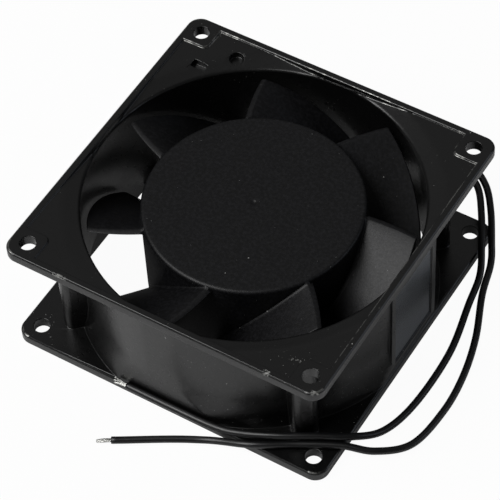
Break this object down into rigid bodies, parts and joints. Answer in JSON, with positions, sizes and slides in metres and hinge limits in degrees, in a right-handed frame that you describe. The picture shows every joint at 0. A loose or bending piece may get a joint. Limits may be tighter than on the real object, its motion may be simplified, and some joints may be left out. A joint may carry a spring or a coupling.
{
  "type": "axial cooling fan",
  "caption": "Square axial cooling fan: die-cast frame with mounting holes, round duct, bladed rotor spinning about its axis on a hidden motor, and a pair of loose lead wires.",
  "frame": {"origin": "on the fan's axis, in the plane of the exhaust face", "axes": "+Z along the fan's axis from the exhaust face to the intake face; X and Y along the flange's sides, with the leads leaving through the +Y side"},
  "size_m": [0.1094, 0.1237, 0.038],
  "materials": {
    "cast_frame": "satin black paint on die-cast aluminium",
    "moulded_impeller": "fine-textured black thermoplastic",
    "lead_insulation": "satin black wire insulation",
    "lead_tin": "tinned copper",
    "black_rubber": "matte black",
    "bearing_bronze": "sintered bronze",
    "steel": "plain steel",
    "core_plates": "stacked electrical steel",
    "cage_aluminium": "cast aluminium",
    "winding_copper": "enamelled copper",
    "brass": "turned brass",
    "nylon": "natural nylon",
    "board": "paper laminate",
    "felt": "oiled felt"
  },
  "bodies": {
    "housing": {"frame": "cast_frame", "bearing_tube": "steel", "lower_bearing": "bearing_bronze", "upper_bearing": "bearing_bronze", "oil_felt": "felt", "end_plug": "black_rubber", "stator_core": "core_plates", "lower_insulator": "nylon", "upper_insulator": "nylon", "coil_1": "winding_copper", "coil_2": "winding_copper", "coil_3": "winding_copper", "coil_4": "winding_copper", "shading_ring_1": "winding_copper", "shading_ring_2": "winding_copper", "shading_ring_3": "winding_copper", "shading_ring_4": "winding_copper", "terminal_board": "board", "terminal_pins": "lead_tin", "lead_grommet": "black_rubber", "lead_run_1": "lead_insulation", "lead_run_2": "lead_insulation", "lead_1": "lead_insulation", "lead_2": "lead_insulation", "lead_tip_1": "lead_tin", "lead_tip_2": "lead_tin"},
    "rotor": {"impeller": "moulded_impeller", "rotor_cup": "steel", "rotor_core": "core_plates", "rotor_cage": "cage_aluminium", "rotor_bush": "brass", "shaft": "steel", "retaining_clip": "steel", "lower_washer": "nylon", "upper_washer": "nylon"}
  },
  "joints": [
    {"name": "rotor_spin", "type": "hinge", "parent": "housing", "child": "rotor", "pos_m": [0, 0, 0], "axis": [0, 0, 1], "continuous": true}
  ]
}
